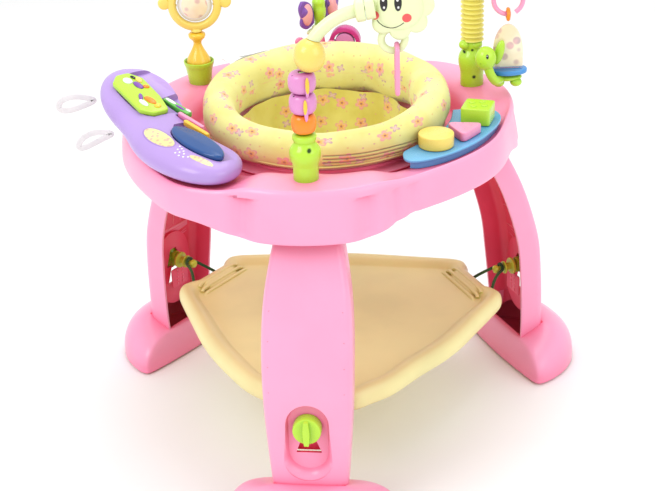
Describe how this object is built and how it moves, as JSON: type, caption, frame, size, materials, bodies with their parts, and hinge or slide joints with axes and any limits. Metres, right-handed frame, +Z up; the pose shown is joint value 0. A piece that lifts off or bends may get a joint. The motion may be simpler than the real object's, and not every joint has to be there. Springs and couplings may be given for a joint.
{
  "type": "activity jumper",
  "caption": "Baby activity jumper: curved legs carry a round toy tray with a turning padded seat, and a platform on elastic cords bounces below it.",
  "frame": {"origin": "on the floor, at the middle of the whole object's footprint; the seat's axis is the vertical line at X 0.005, Y 0.072", "axes": "+Z up; -Y towards the front leg; +X towards the right leg's side"},
  "size_m": [0.7417, 0.6648, 0.739],
  "materials": {
    "pink_plastic": "satin gloss",
    "cream_plastic": "satin",
    "foot_rubber": "matt",
    "spool_plastic": "satin",
    "cord_elastic": "braided",
    "knob_plastic": "satin gloss",
    "ring_plastic": "satin",
    "seat_fabric": "printed soft cloth",
    "lime_plastic": "gloss",
    "orange_plastic": "gloss",
    "orchid_plastic": "gloss",
    "yellow_plastic": "gloss",
    "pale_green_plastic": "gloss",
    "link_plastic": "gloss",
    "blue_plastic": "gloss",
    "dark_blue_plastic": "high gloss",
    "lavender_plastic": "satin gloss",
    "panel_plastic": "gloss",
    "print_disc": "printed, clear domed",
    "purple_plastic": "gloss",
    "strap_fabric": "woven"
  },
  "bodies": {
    "frame": {"tray": "pink_plastic", "leg_front": "pink_plastic", "leg_right": "pink_plastic", "leg_left": "pink_plastic", "foot_pad_front": "foot_rubber", "foot_pad_right": "foot_rubber", "foot_pad_left": "foot_rubber", "bead_post": "lime_plastic", "spinner_cup": "lime_plastic", "spinner_stem": "orange_plastic", "spinner_frame": "yellow_plastic", "tube_base": "lime_plastic", "bendy_tube": "yellow_plastic", "tube_cap": "link_plastic", "block_tray": "blue_plastic", "toy_case": "lavender_plastic", "strap_loop_far": "strap_fabric", "strap_loop_near": "strap_fabric", "back_toy_base": "pink_plastic", "roller_arch": "pink_plastic"},
    "seat": {"seat_ring": "ring_plastic", "seat_lock_ring": "ring_plastic", "seat_pad": "seat_fabric", "seat_sling": "seat_fabric"},
    "platform": {"bounce_platform": "cream_plastic"},
    "spool_front": {"cord_spool_front": "spool_plastic", "elastic_cord_front": "cord_elastic"},
    "knob_front": {"height_knob_front": "knob_plastic"},
    "spool_right": {"cord_spool_right": "spool_plastic", "elastic_cord_right": "cord_elastic"},
    "knob_right": {"height_knob_right": "knob_plastic"},
    "spool_left": {"cord_spool_left": "spool_plastic", "elastic_cord_left": "cord_elastic"},
    "knob_left": {"height_knob_left": "knob_plastic"},
    "bead_orange": {"bead_orange": "orange_plastic"},
    "bead_pink_lower": {"bead_pink_lower": "orchid_plastic"},
    "bead_pink_upper": {"bead_pink_upper": "orchid_plastic"},
    "arm": {"arm_ball": "yellow_plastic", "curved_arm": "pale_green_plastic"},
    "daisy": {"daisy_body": "pale_green_plastic", "daisy_face": "pale_green_plastic"},
    "daisy_link": {"daisy_link": "link_plastic"},
    "spinner": {"spinner_disc": "print_disc"},
    "turtle_link": {"turtle_link": "link_plastic"},
    "turtle": {"turtle_body": "lime_plastic", "turtle_shell": "orange_plastic", "turtle_rim": "blue_plastic"},
    "block_round": {"block_round": "yellow_plastic"},
    "block_triangle": {"block_triangle": "link_plastic"},
    "block_square": {"block_square": "lime_plastic"},
    "key_blue": {"key_blue": "dark_blue_plastic"},
    "key_orange": {"key_orange": "orange_plastic"},
    "key_green": {"key_green": "lime_plastic"},
    "key_pink": {"key_pink": "link_plastic"},
    "panel": {"picture_panel": "panel_plastic"},
    "butterfly": {"butterfly_body": "lime_plastic", "butterfly_wing_right": "purple_plastic", "butterfly_wing_left": "purple_plastic"},
    "roller": {"roller": "orchid_plastic"}
  },
  "joints": [
    {"name": "seat_spin", "type": "hinge", "parent": "frame", "child": "seat", "pos_m": [0.005, 0.072, 0.44], "axis": [0, 0, 1], "continuous": true},
    {"name": "platform_height", "type": "slide", "parent": "frame", "child": "spool_front", "axis": [0, 0, 1], "range_m": [-0.03, 0]},
    {"name": "knob_turn_front", "type": "hinge", "parent": "spool_front", "child": "knob_front", "pos_m": [0.005, -0.2541, 0.1555], "axis": [0, -1, 0], "range_deg": [0, 90]},
    {"name": "cord_height_right", "type": "slide", "parent": "frame", "child": "spool_right", "axis": [0, 0, 1], "range_m": [-0.03, 0]},
    {"name": "knob_turn_right", "type": "hinge", "parent": "spool_right", "child": "knob_right", "pos_m": [0.28741, 0.23505, 0.1555], "axis": [0.866, 0.5, 0], "range_deg": [0, 90]},
    {"name": "cord_height_left", "type": "slide", "parent": "frame", "child": "spool_left", "axis": [0, 0, 1], "range_m": [-0.03, 0]},
    {"name": "knob_turn_left", "type": "hinge", "parent": "spool_left", "child": "knob_left", "pos_m": [-0.27741, 0.23505, 0.1555], "axis": [-0.866, 0.5, 0], "range_deg": [0, 90]},
    {"name": "platform_bounce", "type": "slide", "parent": "spool_front", "child": "platform", "axis": [0, 0, 1], "range_m": [-0.035, 0], "deforming": ["elastic_cord_front", "elastic_cord_right", "elastic_cord_left"]},
    {"name": "bead_orange_spin", "type": "hinge", "parent": "frame", "child": "bead_orange", "pos_m": [0.005, -0.162, 0.5], "axis": [0, 0, 1], "continuous": true},
    {"name": "bead_pink_lower_spin", "type": "hinge", "parent": "frame", "child": "bead_pink_lower", "pos_m": [0.005, -0.162, 0.54], "axis": [0, 0, 1], "continuous": true},
    {"name": "bead_pink_upper_spin", "type": "hinge", "parent": "frame", "child": "bead_pink_upper", "pos_m": [0.005, -0.162, 0.58], "axis": [0, 0, 1], "continuous": true},
    {"name": "arm_swivel", "type": "hinge", "parent": "frame", "child": "arm", "pos_m": [0.016, -0.162, 0.6408], "axis": [0, 0, 1], "range_deg": [-60, 60]},
    {"name": "daisy_turn", "type": "hinge", "parent": "arm", "child": "daisy", "pos_m": [0.0765, -0.151, 0.694], "axis": [0.9827, 0.131, 0.131], "range_deg": [-40, 40]},
    {"name": "daisy_link_swing", "type": "hinge", "parent": "daisy", "child": "daisy_link", "pos_m": [0.12304, -0.14252, 0.639], "axis": [0.9925, 0.1219, 0], "range_deg": [-35, 35]},
    {"name": "spinner_spin", "type": "hinge", "parent": "frame", "child": "spinner", "pos_m": [-0.19765, 0.189, 0.5935], "axis": [0.9925, 0.1219, 0], "continuous": true},
    {"name": "turtle_link_swing", "type": "hinge", "parent": "frame", "child": "turtle_link", "pos_m": [0.259, 0.155, 0.6325], "axis": [0.1219, -0.9925, 0], "range_deg": [-20, 20]},
    {"name": "turtle_swing", "type": "hinge", "parent": "turtle_link", "child": "turtle", "pos_m": [0.259, 0.155, 0.5905], "axis": [0.9925, 0.1219, 0], "range_deg": [-22, 20]},
    {"name": "block_round_lift", "type": "slide", "parent": "frame", "child": "block_round", "axis": [0, 0, 1], "range_m": [0, 0.03]},
    {"name": "block_triangle_lift", "type": "slide", "parent": "frame", "child": "block_triangle", "axis": [0, 0, 1], "range_m": [0, 0.03]},
    {"name": "block_square_lift", "type": "slide", "parent": "frame", "child": "block_square", "axis": [0, 0, 1], "range_m": [0, 0.03]},
    {"name": "key_blue_press", "type": "slide", "parent": "frame", "child": "key_blue", "axis": [-0.0947, 0.1352, -0.9863], "range_m": [0, 0.003]},
    {"name": "key_orange_press", "type": "slide", "parent": "frame", "child": "key_orange", "axis": [-0.0947, 0.1352, -0.9863], "range_m": [0, 0.003]},
    {"name": "key_green_press", "type": "slide", "parent": "frame", "child": "key_green", "axis": [-0.0947, 0.1352, -0.9863], "range_m": [0, 0.003]},
    {"name": "key_pink_press", "type": "slide", "parent": "frame", "child": "key_pink", "axis": [-0.0947, 0.1352, -0.9863], "range_m": [0, 0.003]},
    {"name": "panel_press", "type": "slide", "parent": "frame", "child": "panel", "axis": [-0.1175, 0.1504, -0.9816], "range_m": [0, 0.0012]},
    {"name": "butterfly_spin", "type": "hinge", "parent": "frame", "child": "butterfly", "pos_m": [-0.028, 0.292, 0.5225], "axis": [0, 0, 1], "continuous": true},
    {"name": "roller_spin", "type": "hinge", "parent": "frame", "child": "roller", "pos_m": [0.011, 0.292, 0.503], "axis": [0, -1, 0], "continuous": true}
  ],
  "couplings": [
    {"joint": "cord_height_right", "follows": "platform_height", "ratio": 1},
    {"joint": "cord_height_left", "follows": "platform_height", "ratio": 1}
  ]
}
